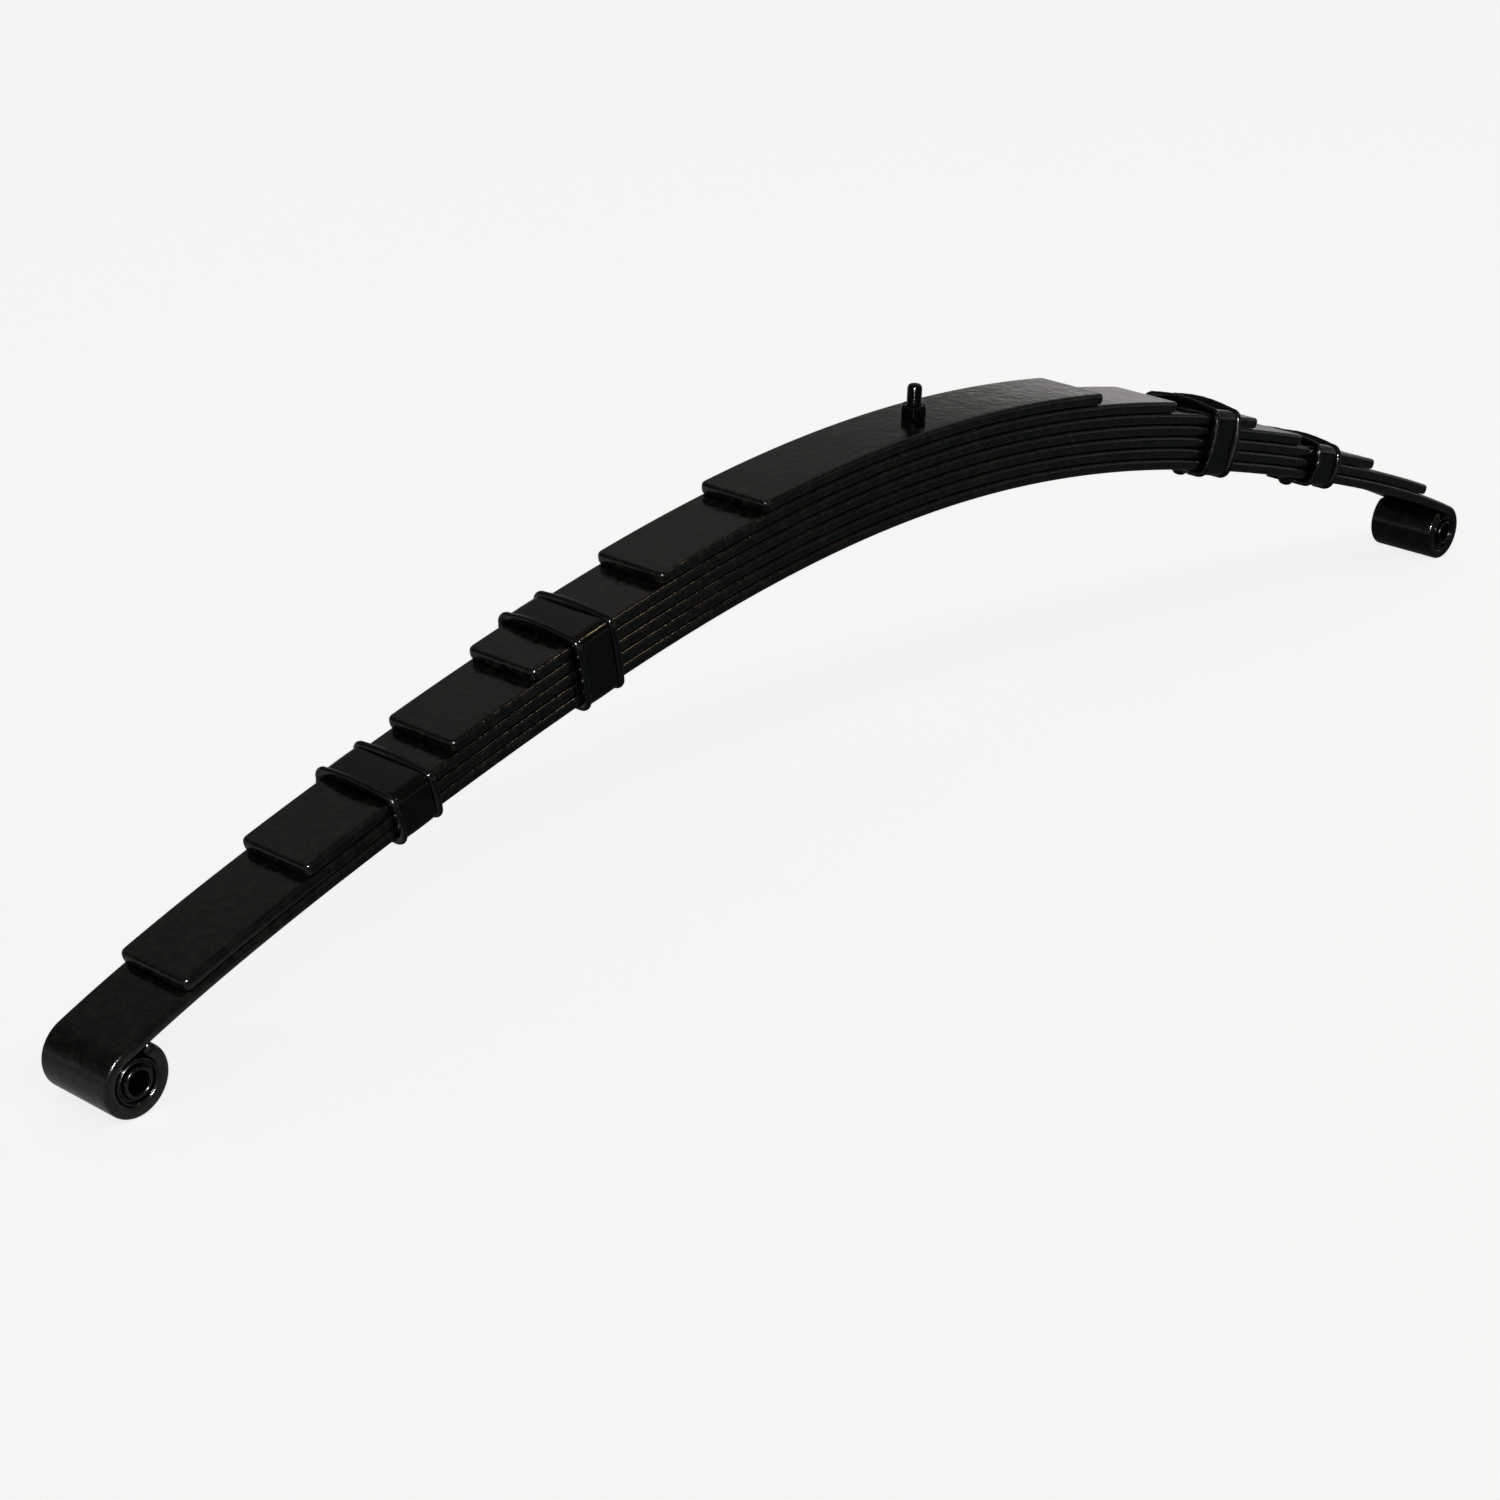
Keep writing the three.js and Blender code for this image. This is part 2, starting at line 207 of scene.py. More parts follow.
def fillet(corners, steps=5):
    """A closed outline from (a, b, radius) corners, each rounded with its own radius."""
    outline = []
    count = len(corners)
    for i, (a, b, radius) in enumerate(corners):
        at = np.array([a, b], float)
        if radius <= 0:
            outline.append(at)
            continue
        before = np.array(corners[i - 1][:2], float) - at
        after = np.array(corners[(i + 1) % count][:2], float) - at
        before /= np.linalg.norm(before)
        after /= np.linalg.norm(after)
        half = math.acos(np.clip(before @ after, -1, 1)) / 2
        start = at + before * radius / math.tan(half)
        end = at + after * radius / math.tan(half)
        middle = at + (before + after) / np.linalg.norm(before + after) * radius / math.sin(half)
        first = math.atan2(*(start - middle)[::-1])
        swing = (math.atan2(*(end - middle)[::-1]) - first + math.pi) % (2 * math.pi) - math.pi
        for k in range(steps + 1):
            turn = first + swing * k / steps
            outline.append(middle + radius * np.array([math.cos(turn), math.sin(turn)]))
    return np.array(outline)


def lathe(profile, centre, along, segments=72, closed=True):
    """A turned piece: profile holds (radius, place) pairs and along is 'y' or 'z'."""
    turns = np.linspace(0, 2 * math.pi, segments, endpoint=False)
    points = []
    for radius, place in profile:
        across, up = radius * np.cos(turns), radius * np.sin(turns)
        lane = np.full(segments, float(place))
        rows = (across, lane, up) if along == "y" else (across, up, lane)
        points.append(np.stack(rows, 1) + centre)
    numbers = np.arange(len(profile) * segments).reshape(len(profile), segments)
    faces = []
    for i in range(len(profile) if closed else len(profile) - 1):
        faces += ring_faces(list(numbers[i]), list(numbers[(i + 1) % len(profile)]))
    return np.concatenate(points), faces


# ---- leaves ---------------------------------------------------------------------------------


def leaf_rows(half_length):
    """(s, half width of the flat, turn round the plan corner) for the rows of half a leaf."""
    limit = half_length - PLAN_CORNER
    stations = [0, HOLE_SQUARE / 2, HOLE_SQUARE]
    stations += list(np.arange(HOLE_SQUARE + LEAF_ROW, min(limit, EYE_START) - 2, LEAF_ROW))
    stations += list(np.arange(EYE_START, limit - EYE_ROW / 2, EYE_ROW))
    rows = [(s, LEAF_WIDTH / 2 - SIDE_ROUND, 0.0) for s in [*stations, limit]]
    for k in range(1, CORNER_ROWS + 1):
        turn = math.pi / 2 * k / CORNER_ROWS
        inset = SIDE_ROUND + (NOSE_ROUND - SIDE_ROUND) * math.sin(turn) ** 2
        flat = PLAN_CORNER - inset
        half_width = LEAF_WIDTH / 2 - PLAN_CORNER + flat * math.cos(turn)
        rows.append((limit + flat * math.sin(turn), half_width, turn))
    return rows


def rim_rings(rows, numbers, flat):
    """Rings that round a leaf's sides and noses, from its top face to its underside.

    Gives the loop of point numbers of the flat that they follow, and each ring with its wear."""
    end, side = numbers.shape[0] - 1, numbers.shape[1] - 1
    loop = [(0, j) for j in range(side + 1)]
    loop += [(i, side) for i in range(1, end)]
    loop += [(end, j) for j in range(side, -1, -1)]
    loop += [(i, 0) for i in range(end - 1, 0, -1)]
    turn = np.array([rows[i][2] for i, _ in loop])
    toward_s = np.sin(turn) * np.sign([rows[i][0] for i, _ in loop])
    toward_y = np.cos(turn) * np.where([j == 0 for _, j in loop], -1.0, 1.0)
    toward_y[turn > math.pi / 2 - 0.01] = 0
    blend = np.sin(turn) ** 2
    reach = SIDE_ROUND + (NOSE_ROUND - SIDE_ROUND) * blend
    dip = SIDE_ROUND + (NOSE_UNDER - SIDE_ROUND) * blend
    loop_numbers = np.array([numbers[i, j] for i, j in loop])
    loop_flat = flat[loop_numbers]

    def ring(angle, bulge, height):
        out = reach * math.sin(angle) + bulge
        return np.column_stack([loop_flat[:, 0] + toward_s * out, loop_flat[:, 1] + toward_y * out, height])

    angles = [math.pi / 2 * k / RIM_STEPS for k in range(1, RIM_STEPS + 1)]
    rings = [(ring(a, 0, LEAF_THICK - reach * (1 - math.cos(a))), math.sin(2 * a)) for a in angles]
    rings += [(ring(math.pi / 2, SIDE_BULGE, (LEAF_THICK - reach + dip) / 2), 0.0)]
    rings += [(ring(a, 0, dip * (1 - math.cos(a))), math.sin(2 * a)) for a in angles[::-1]]
    return loop_numbers, rings


def hole_square():
    """The (s, y) points round the square patch of a leaf that its bolt hole is cut from."""
    full, half = HOLE_SQUARE, HOLE_SQUARE / 2
    square = [(full, 0), (full, half), (full, full), (half, full)]
    square += [(0, full), (-half, full), (-full, full), (-full, half)]
    return square + [(-s, -y) for s, y in square]


def make_leaf(node, half_length, bottom, material):
    """One leaf: a grid of rows for its top and underside, a rounded rim, and the bolt hole."""
    half_rows = leaf_rows(half_length)
    rows = [(-s, width, turn) for s, width, turn in half_rows[:0:-1]] + half_rows
    full = LEAF_WIDTH / 2 - SIDE_ROUND
    shares = [-y / full for y in (full, *COLUMNS[:0:-1])] + [y / full for y in (*COLUMNS, full)]
    row_count, column_count = len(rows), len(shares)
    flat = np.array([(s, share * width) for s, width, _ in rows for share in shares])
    count = len(flat)
    numbers = np.arange(count).reshape(row_count, column_count)
    top = np.column_stack([flat, np.full(count, LEAF_THICK)])
    under = np.column_stack([flat, np.zeros(count)])
    points = [top, under]
    wear = [np.zeros(2 * count)]
    made = 2 * count

    faces = []
    for i in range(row_count - 1):
        for j in range(column_count - 1):
            corners = (numbers[i, j], numbers[i + 1, j], numbers[i + 1, j + 1], numbers[i, j + 1])
            if np.abs(flat[list(corners)]).max() < HOLE_SQUARE + 0.01:
                continue
            faces.append(tuple(int(k) for k in corners))
            faces.append(tuple(int(k) + count for k in corners))

    loop, rings = rim_rings(rows, numbers, flat)
    before = loop
    for ring, rub in rings:
        points.append(ring)
        wear.append(np.full(len(ring), rub))
        after = made + np.arange(len(ring))
        made += len(ring)
        faces += ring_faces(before.tolist(), after.tolist())
        before = after
    faces += ring_faces(before.tolist(), (loop + count).tolist())

    # the bolt hole: rings from the square patch down to a small chamfer on each face, then its wall
    square = hole_square()
    found = {(round(s, 2), round(y, 2)): k for k, (s, y) in enumerate(flat)}
    edge = [found[float(s), float(y)] for s, y in square]
    around = [math.atan2(y, s) for s, y in square]
    walls = []
    for height, offset, inward in ((LEAF_THICK, 0, -0.4), (0, count, 0.4)):
        before = [k + offset for k in edge]
        for radius, depth in ((BOLT_HOLE + 0.9, 0), (BOLT_HOLE + 0.4, 0), (BOLT_HOLE, inward)):
            ring = [(radius * math.cos(a), radius * math.sin(a), height + depth) for a in around]
            points.append(np.array(ring))
            wear.append(np.zeros(len(ring)))
            after = list(range(made, made + len(ring)))
            made += len(ring)
            faces += ring_faces(before, after)
            before = after
        walls.append(before)
    faces += ring_faces(*walls)

    points = np.concatenate(points)
    x, z = leaf_point(points[:, 0], points[:, 2] + bottom)
    placed = np.column_stack([x, points[:, 1], z])
    make_piece(node, placed, faces, material, np.concatenate(wear))


# ---- eye bushes -----------------------------------------------------------------------------


def mirrored_ring(face):
    """A closed ring profile from the (radius, place) points of its +Y end, outermost first."""
    return [(r, y) for r, y in face] + [(r, -y) for r, y in face[::-1]]


def rounded_lip(inner, outer, top, rise, steps=9):
    """The half-round end of a ring, from its outer side over the crest to its inner side."""
    middle, half = (inner + outer) / 2, (outer - inner) / 2
    turns = [math.pi * k / steps for k in range(steps + 1)]
    return [(middle + half * math.cos(a), top - rise + rise * math.sin(a)) for a in turns]


SHELL_END = [(10.9, 20.0), *rounded_lip(9.95, 10.9, 22.1, 0.6), (9.95, 20.0)]
RUBBER_END = [
    (9.93, 19.6), (9.9, 20.1), (9.72, 20.3), (9.5, 20.1), (9.28, 20.2), (9.05, 20.75),
    (8.8, 21.1), (8.5, 21.15), (8.25, 20.95), (8.08, 20.4), (7.92, 19.9), (7.74, 19.6), (7.66, 19.2),
]
SLEEVE_END = [(7.6, 21.4), *rounded_lip(5.6, 7.6, 23.42, 1.3, steps=12), (5.6, 21.4)]


def make_bush(side, sign, shell_material, ring_material, sleeve_material):
    """The shell, rubber ring and sleeve of one eye."""
    x, z = eye_centre(sign)
    centre = np.array([float(x), 0, float(z)])
    for node, face, material, body in (
        ("bush_shell_", SHELL_END, shell_material, "pack"),
        ("bush_rubber_", RUBBER_END, ring_material, "pack"),
        ("bush_sleeve_", SLEEVE_END, sleeve_material, "sleeve_" + side),
    ):
        points, faces = lathe(mirrored_ring(face), centre, "y")
        lip = np.clip((np.abs(points[:, 1]) - face[0][1]) / 1.2, 0, 1)
        make_piece(node + side, points, faces, material, lip * 0.5, body)


# ---- centre bolt and nut --------------------------------------------------------------------


def make_bolt(material):
    """Round-headed bolt whose painted-over thread stands up through the pack."""
    head_top = SEAT - HEAD_GAP
    head_bottom = head_top - HEAD_HEIGHT
    tip = PACK_TOP + BOLT_STANDS
    rings = [(0.0, head_bottom), (3.2, head_bottom), (5.6, head_bottom + 0.1), (6.2, head_bottom + 0.3)]
    rings += [(6.58, head_bottom + 0.65), (HEAD_RADIUS, head_bottom + 1.1), (HEAD_RADIUS, head_top - 0.5)]
    rings += [(6.6, head_top - 0.12), (6.3, head_top)]
    rings += [(BOLT_RADIUS + 0.3, head_top), (BOLT_RADIUS, head_top + 0.3)]
    rings += [(BOLT_RADIUS, z) for z in np.linspace(head_top + 6, THREAD_FROM - 0.1, 8)]
    steps = int((tip - 2.2 - THREAD_FROM) / (THREAD_PITCH / 7))
    rings += [(BOLT_RADIUS, z) for z in np.linspace(THREAD_FROM, tip - 2.2, steps)]
    rings += [(3.86, tip - 1.85), (3.7, tip - 1.4), (3.45, tip - 0.95), (3.1, tip - 0.55)]
    rings += [(2.6, tip - 0.22), (2.0, tip - 0.05), (1.2, tip), (0.0, tip)]
    points, faces = lathe(rings, np.zeros(3), "z", segments=40, closed=False)
    turn = np.arctan2(points[:, 1], points[:, 0]) / (2 * math.pi)
    phase = (points[:, 2] / THREAD_PITCH - turn) % 1
    above = points[:, 2] - THREAD_FROM
    groove = np.clip(above / 1.5, 0, 1) * np.clip((tip - 0.9 - points[:, 2]) / 1.2, 0, 1)
    depth = THREAD_DEPTH * groove * (0.5 + 0.5 * np.cos(2 * math.pi * phase)) ** 1.4
    shrink = 1 - depth / np.maximum(np.hypot(points[:, 0], points[:, 1]), 1)
    points[:, :2] *= shrink[:, None]
    wear = np.clip(above / 2, 0, 1) * (1 - depth / THREAD_DEPTH)
    make_piece("centre_bolt", points, faces, material, wear * 0.3)


def make_nut(material):
    """Hexagon nut with rounded corners and chamfered ends."""
    segments = 144
    turns = np.linspace(0, 2 * math.pi, segments, endpoint=False)
    flats = [math.radians(NUT_FLAT_TURN + 60 * k) for k in range(6)]
    pull = sum(np.maximum(np.cos(turns - a), 0) ** 60 for a in flats)
    hexagon = NUT_FLATS / 2 / pull ** (1 / 60)
    bottom = PACK_TOP + NUT_GAP
    levels = [0, 0.12, 0.28, 0.45, 0.65, 0.9, 1.3]
    levels += [NUT_HEIGHT / 2] + [NUT_HEIGHT - z for z in levels[::-1]]
    rows = [(np.full(segments, 4.0), 0.4), (np.full(segments, 4.5), 0.0), (np.full(segments, 5.9), 0.0)]
    for z in levels:
        inward = max(NUT_CHAMFER - min(z, NUT_HEIGHT - z), 0)
        cone = NUT_FLATS / math.sqrt(3) + 0.02 - 1.15 * inward
        rows.append(((hexagon**-24 + cone**-24) ** (-1 / 24), z))
    rows += [(np.full(segments, 5.7), NUT_HEIGHT), (np.full(segments, 4.75), NUT_HEIGHT)]
    rows += [(np.full(segments, 4.4), NUT_HEIGHT - 0.12), (np.full(segments, 4.0), NUT_HEIGHT - 0.5)]
    points = np.concatenate([
        np.column_stack([radius * np.cos(turns), radius * np.sin(turns), np.full(segments, bottom + z)])
        for radius, z in rows
    ])
    numbers = np.arange(len(points)).reshape(len(rows), segments)
    faces = []
    for i in range(len(rows)):
        faces += ring_faces(numbers[i].tolist(), numbers[(i + 1) % len(rows)].tolist())
    level = points[:, 2] - bottom
    rim = np.clip(1.4 - np.minimum(level, NUT_HEIGHT - level), 0, 1)
    make_piece("centre_bolt_nut", points, faces, material, rim * 0.5)


# ---- clips ----------------------------------------------------------------------------------


UNDER, SIDE, TOP, CORNER = range(4)


def wrap_path(pack_height, start, finish):
    """The way round the pack from y = start underneath, up the +Y side, over the top and down to y = finish.

    Gives points, outward directions, the run each is on and how far along its run it is, from -1 to 1."""
    wide, low, high = LEAF_WIDTH / 2 - WRAP_EDGE, WRAP_EDGE, pack_height - WRAP_EDGE
    points, normals, runs, shares = [], [], [], []

    def straight(a, b, normal, run):
        a, b = np.array(a, float), np.array(b, float)
        count = max(3, int(np.linalg.norm(b - a) / 2.2))
        for k in range(count + 1):
            points.append(a + (b - a) * k / count)
            normals.append(np.array(normal, float))
            runs.append(run)
            shares.append(2 * k / count - 1)

    def corner(y, z, first):
        for k in range(1, 8):
            turn = math.radians(first + 90 * k / 8)
            normal = np.array([math.cos(turn), math.sin(turn)])
            points.append(np.array([y, z]) + WRAP_EDGE * normal)
            normals.append(normal)
            runs.append(CORNER)
            shares.append(k / 4 - 1)

    straight((start, 0), (wide, 0), (0, -1), UNDER)
    corner(wide, low, -90)
    straight((wide + WRAP_EDGE, low), (wide + WRAP_EDGE, high), (1, 0), SIDE)
    corner(wide, high, 0)
    straight((wide, pack_height), (-wide, pack_height), (0, 1), TOP)
    corner(-wide, high, 90)
    straight((-wide - WRAP_EDGE, high), (-wide - WRAP_EDGE, low), (-1, 0), SIDE)
    corner(-wide, low, 180)
    straight((-wide, 0), (finish, 0), (0, -1), UNDER)
    return np.array(points), np.array(normals), np.array(runs), np.array(shares)


def sweep(path, normals, profile, lift):
    """A strip round the pack. profile holds closed (x, distance) pairs; lift[i, k] adds to each distance."""
    count, width = len(path), len(profile)
    points = np.zeros((count, width, 3))
    points[:, :, 0] = profile[:, 0]
    distance = profile[:, 1][None, :] + lift
    points[:, :, 1] = path[:, :1] + normals[:, :1] * distance
    points[:, :, 2] = path[:, 1:] + normals[:, 1:] * distance
    numbers = np.arange(count * width).reshape(count, width)
    faces = []
    for i in range(count - 1):
        faces += ring_faces(numbers[i].tolist(), numbers[i + 1].tolist())
    faces += [tuple(numbers[0].tolist()), tuple(numbers[-1].tolist())]
    return points.reshape(-1, 3), faces


def placed_on_arch(points, s):
    """Points of a clip, from its own frame on the main leaf's underside to the row frame."""
    angle = float(arch_angle(s))
    x, z = arch_point(s, 0)
    return np.column_stack([
        x + points[:, 0] * math.cos(angle) - points[:, 2] * math.sin(angle),
        points[:, 1],
        z + points[:, 0] * math.sin(angle) + points[:, 2] * math.cos(angle),
    ])


LIP_CORNERS = [
    (LIP_INSIDE, LINER_OUTER, 0.3),
    (LIP_INSIDE, LIP_HEIGHT, LIP_ROUND),
    (LINER_HALF, LIP_HEIGHT, LIP_ROUND),
    (LINER_HALF - 0.1, LINER_INNER, 0),
]
LINER_PROFILE = fillet([(-x, up, radius) for x, up, radius in LIP_CORNERS[::-1]] + LIP_CORNERS, steps=7)
CROWN_XS = np.linspace(-8.2, 8.2, 9)
BAND_PROFILE = fillet(
    [(-BAND_HALF, BAND_INNER, 0.3), (-BAND_HALF, BAND_OUTER, 0.5)]
    + [(x, BAND_OUTER + BAND_CROWN * (1 - (x / BAND_HALF) ** 2), 0) for x in CROWN_XS]
    + [(BAND_HALF, BAND_OUTER, 0.5), (BAND_HALF, BAND_INNER, 0.3)]
)


def make_clip(place, s, leaves, far_bow, band_material, liner_material, rivet_material):
    """The liner, band and rivet of the clip at length s. x is along the leaf there, z square to it."""
    pack_height = leaves * LEAF_PITCH - LEAF_GAP

    # rubber channel: its lips bow up over the top and out at the sides, with an ear at the far upper corner
    path, normals, runs, shares = wrap_path(pack_height, LINER_END, -LINER_END)
    arch = 1 - shares**2
    bows = [LIP_TOP_BOW * arch * (1 - 0.3 * shares), LIP_SIDE_BOW * arch]
    swell = np.select([runs == TOP, runs == SIDE], bows, 0.0) + LIP_LEAST_BOW
    far_corner = np.clip(path[:, 0] / 22, 0, 1) ** 3 * (path[:, 1] > pack_height / 2)
    swell = swell + LIP_EAR * far_corner
    ripple = LIP_RIPPLE * np.sin(path[:, 0] * 0.9 + s) * (runs == TOP)
    crest = np.clip((LINER_PROFILE[:, 1] - 1.6) / 1.6, 0, 1)
    crest = crest * np.where(LINER_PROFILE[:, 0] > 0, far_bow, 1.0)
    points, faces = sweep(path, normals, LINER_PROFILE, (swell + ripple)[:, None] * crest[None, :])
    lean = np.tile(crest, len(path)) * np.sign(points[:, 0]) * (0.25 + 0.3 * np.repeat(swell, len(crest)))
    points[:, 0] += lean
    wear = np.tile(crest, len(path)) * 0.3
    make_piece("clip_liner_" + place, placed_on_arch(points, s), faces, liner_material, wear)

    # steel band: one end lies against the pack and the other steps down to lap it
    path, normals, runs, _ = wrap_path(pack_height, -BAND_LAP, BAND_LAP)
    last = np.arange(len(path)) > len(path) - np.argmax((runs != UNDER)[::-1]) - 1
    step = np.clip((path[:, 0] - LAP_STEP_FROM) / LAP_STEP_LENGTH, 0, 1)
    drop = np.where(last, LAP_DROP * step * step * (3 - 2 * step), 0)
    points, faces = sweep(path, normals, BAND_PROFILE, np.repeat(drop[:, None], len(BAND_PROFILE), 1))
    rim = np.tile(np.clip((np.abs(BAND_PROFILE[:, 0]) - 8.6) / 0.8, 0, 1), len(path))
    bend = np.repeat((runs == CORNER) * 0.7, len(BAND_PROFILE))
    wear = np.maximum(rim, bend)
    make_piece("clip_band_" + place, placed_on_arch(points, s), faces, band_material, wear)

    # rivet: a domed head below the lap, and a flat foot above it
    profile = [(0, -7.15), (1.2, -7.08), (2.2, -6.82), (3.0, -6.4), (3.65, -5.82), (4.05, -5.25)]
    profile += [(4.2, -4.9), (4.15, -4.7), (3.9, -4.6), (2.0, -4.6), (2.0, -1.2), (3.2, -1.15)]
    profile += [(3.4, -1.0), (3.4, -0.55), (3.2, -0.45), (0, -0.45)]
    points, faces = lathe(profile, np.zeros(3), "z", segments=40, closed=False)
    wear = np.clip((-5.6 - points[:, 2]) / 1.4, 0, 1) * 0.5
    make_piece("clip_rivet_" + place, placed_on_arch(points, s), faces, rivet_material, wear)


# ---- materials ------------------------------------------------------------------------------


class Shader:
    """A small helper that adds and links the nodes of one material."""

    def __init__(self, name):
        self.material = bpy.data.materials.new(name)
        self.material.use_nodes = True
        self.tree = self.material.node_tree
        self.shader = self.tree.nodes["Principled BSDF"]
        self.place = self.add("ShaderNodeTexCoord").outputs["Object"]

    def add(self, kind, **inputs):
        """A new node, with the inputs that are named set."""
        node = self.tree.nodes.new(kind)
        for key, value in inputs.items():
            self.set(node, key, value)
        return node

    def set(self, node, key, value):
        """Gives an input, by its name or number, a value or a link from another node."""
        socket = node.inputs[key.replace("_", " ")] if isinstance(key, str) else node.inputs[key]
        if isinstance(value, bpy.types.NodeSocket):
            self.tree.links.new(value, socket)
        else:
            socket.default_value = value

    def noise(self, scale, detail=3.0, roughness=0.55, stretch=None):
        """Noise from 0 to 1. scale is in waves a metre, and stretch gives its finer and coarser ways."""
        place = self.place
        if stretch:
            mapping = self.add("ShaderNodeMapping", Vector=place, Scale=stretch)
            place = mapping.outputs["Vector"]
        node = self.add("ShaderNodeTexNoise", Vector=place, Scale=scale, Detail=detail, Roughness=roughness)
        return node.outputs["Fac"]

    def ramp(self, value, low, high, to_low=0.0, to_high=1.0):
        """Eases from to_low to to_high as the value goes from low to high."""
        node = self.add("ShaderNodeMapRange", Value=value)
        node.interpolation_type = "SMOOTHSTEP"
        for key, number in (("From Min", low), ("From Max", high), ("To Min", to_low), ("To Max", to_high)):
            node.inputs[key].default_value = number
        return node.outputs["Result"]

    def math(self, operation, first, second):
        node = self.add("ShaderNodeMath")
        node.operation = operation
        self.set(node, 0, first)
        self.set(node, 1, second)
        return node.outputs[0]

    def mix(self, factor, first, second):
        node = self.add("ShaderNodeMix")
        node.data_type = "RGBA"
        self.set(node, 0, factor)
        self.set(node, 6, first)
        self.set(node, 7, second)
        return node.outputs[2]

    def bump(self, height, distance, strength=1.0, under=None):
        """A bump, distance metres deep, laid over the bump given as under."""
        node = self.add("ShaderNodeBump", Height=height, Distance=distance, Strength=strength)
        if under is not None:
            self.set(node, "Normal", under)
        return node.outputs["Normal"]


NEUTRAL = (1.0, 1.0, 1.0)
COOL = (0.8, 1.05, 1.0)
WARM = (1.3, 1.0, 0.72)
PLUM = (1.2, 0.9, 1.15)
OLIVE = (1.2, 1.0, 0.62)
BRONZE = (1.3, 0.85, 0.4)
PRIMER = (1.0, 0.98, 0.95)
BLUISH = (0.8, 0.9, 1.4)


def shade(level, tint=NEUTRAL):
    """A colour of the given brightness, tinted."""
    return (level * tint[0], level * tint[1], level * tint[2], 1.0)


def enamel(name, level=0.0035, gloss=(0.07, 0.17), peel=1.0, worn=1.0, coat=0.1, grimy=0.06, shine=0.5):
    """Thick glossy black enamel over mill-scaled steel, rubbed thin in places along its edges."""
    made = Shader(name)
    broad = made.noise(16, 3)
    fine = made.noise(85, 5, 0.6)
    mottle = made.noise(210, 3, 0.6)
    streak = made.noise(7, 6, 0.65, stretch=(6, 46, 6))
    colour = made.mix(made.ramp(broad, 0.38, 0.64), shade(level, COOL), shade(level * 1.5, WARM))
    colour = made.mix(made.ramp(mottle, 0.5, 0.62, 0.0, peel), colour, shade(0.024, OLIVE))
    colour = made.mix(made.ramp(made.noise(170, 3), 0.56, 0.64, 0.0, peel), colour, shade(0.014, PLUM))
    scuff = made.ramp(streak, 0.64, 0.72)
    colour = made.mix(made.math("MULTIPLY", scuff, 0.3), colour, shade(0.022, WARM))

    # rubbed edges: where the edge attribute is high and a broken noise lets them through
    edge = made.add("ShaderNodeAttribute")
    edge.attribute_name = "edge"
    on_edge = made.ramp(edge.outputs["Fac"], 0.45, 0.95)
    broken = made.ramp(made.noise(210, 4, 0.7, stretch=(0.35, 1, 1)), 0.6, 0.7)
    rubbed = made.math("MULTIPLY", on_edge, broken)
    rubbed = made.math("MULTIPLY", rubbed, made.ramp(made.noise(24, 2), 0.5, 0.62, 0.0, worn))
    colour = made.mix(rubbed, colour, shade(0.055, BRONZE))
    grime = made.math("MULTIPLY", on_edge, made.ramp(made.noise(60, 3, 0.6), 0.46, 0.66, grimy, 0.0))

    # pin-prick chips with a pale primer, few and far between
    speck = made.add("ShaderNodeTexVoronoi", Vector=made.place, Scale=95.0)
    chip = made.ramp(speck.outputs["Distance"], 0.1, 0.045)
    chosen = made.ramp(made.noise(9, 0), 0.69, 0.71)
    chip = made.math("MULTIPLY", chip, chosen)
    colour = made.mix(chip, colour, shade(0.5, PRIMER))
    made.set(made.shader, "Base Color", colour)

    rough = made.ramp(fine, 0.3, 0.7, *gloss)
    rough = made.math("ADD", rough, made.math("MULTIPLY", scuff, 0.12))
    rough = made.math("ADD", rough, made.math("MULTIPLY", rubbed, 0.12))
    rough = made.math("ADD", rough, grime)
    made.set(made.shader, "Roughness", rough)
    made.set(made.shader, "Metallic", made.math("MULTIPLY", rubbed, 0.7))
    made.shader.inputs["Specular IOR Level"].default_value = shine
    made.shader.inputs["Coat Weight"].default_value = coat
    made.shader.inputs["Coat Roughness"].default_value = 0.07

    bump = made.bump(made.noise(48, 2), 0.00035 * peel)
    bump = made.bump(mottle, 0.00028 * peel, under=bump)
    bump = made.bump(made.noise(620, 2, 0.5), 0.00003 * peel, under=bump)
    bump = made.bump(fine, 0.0003 * peel, 0.6, under=bump)
    bump = made.bump(made.math("ADD", rubbed, chip), 0.00005, -0.6, under=bump)
    made.set(made.shader, "Normal", bump)
    return made.material


def rubber(name, level, gloss, tint, over_spray):
    """Moulded rubber with black enamel sprayed over it and a fine, slightly dusty grain."""
    made = Shader(name)
    broad = made.noise(40, 4)
    grain = made.noise(900, 3, 0.6)
    colour = made.mix(made.ramp(broad, 0.35, 0.65), shade(level, tint), shade(level * 1.9, tint))
    dust = made.ramp(made.noise(260, 5, 0.7), 0.6, 0.78)
    colour = made.mix(made.math("MULTIPLY", dust, 0.3), colour, shade(0.09, (1.0, 0.95, 0.88)))
    made.set(made.shader, "Base Color", colour)
    wet = made.ramp(made.noise(55, 3), 0.42, 0.58, 0.0, over_spray)
    rough = made.math("SUBTRACT", made.ramp(grain, 0.3, 0.7, *gloss), made.math("MULTIPLY", wet, 0.25))
    made.set(made.shader, "Roughness", rough)
    bump = made.bump(made.noise(90, 2), 0.00012)
    bump = made.bump(grain, 0.00002, 0.5, under=bump)
    made.set(made.shader, "Normal", bump)
    return made.material


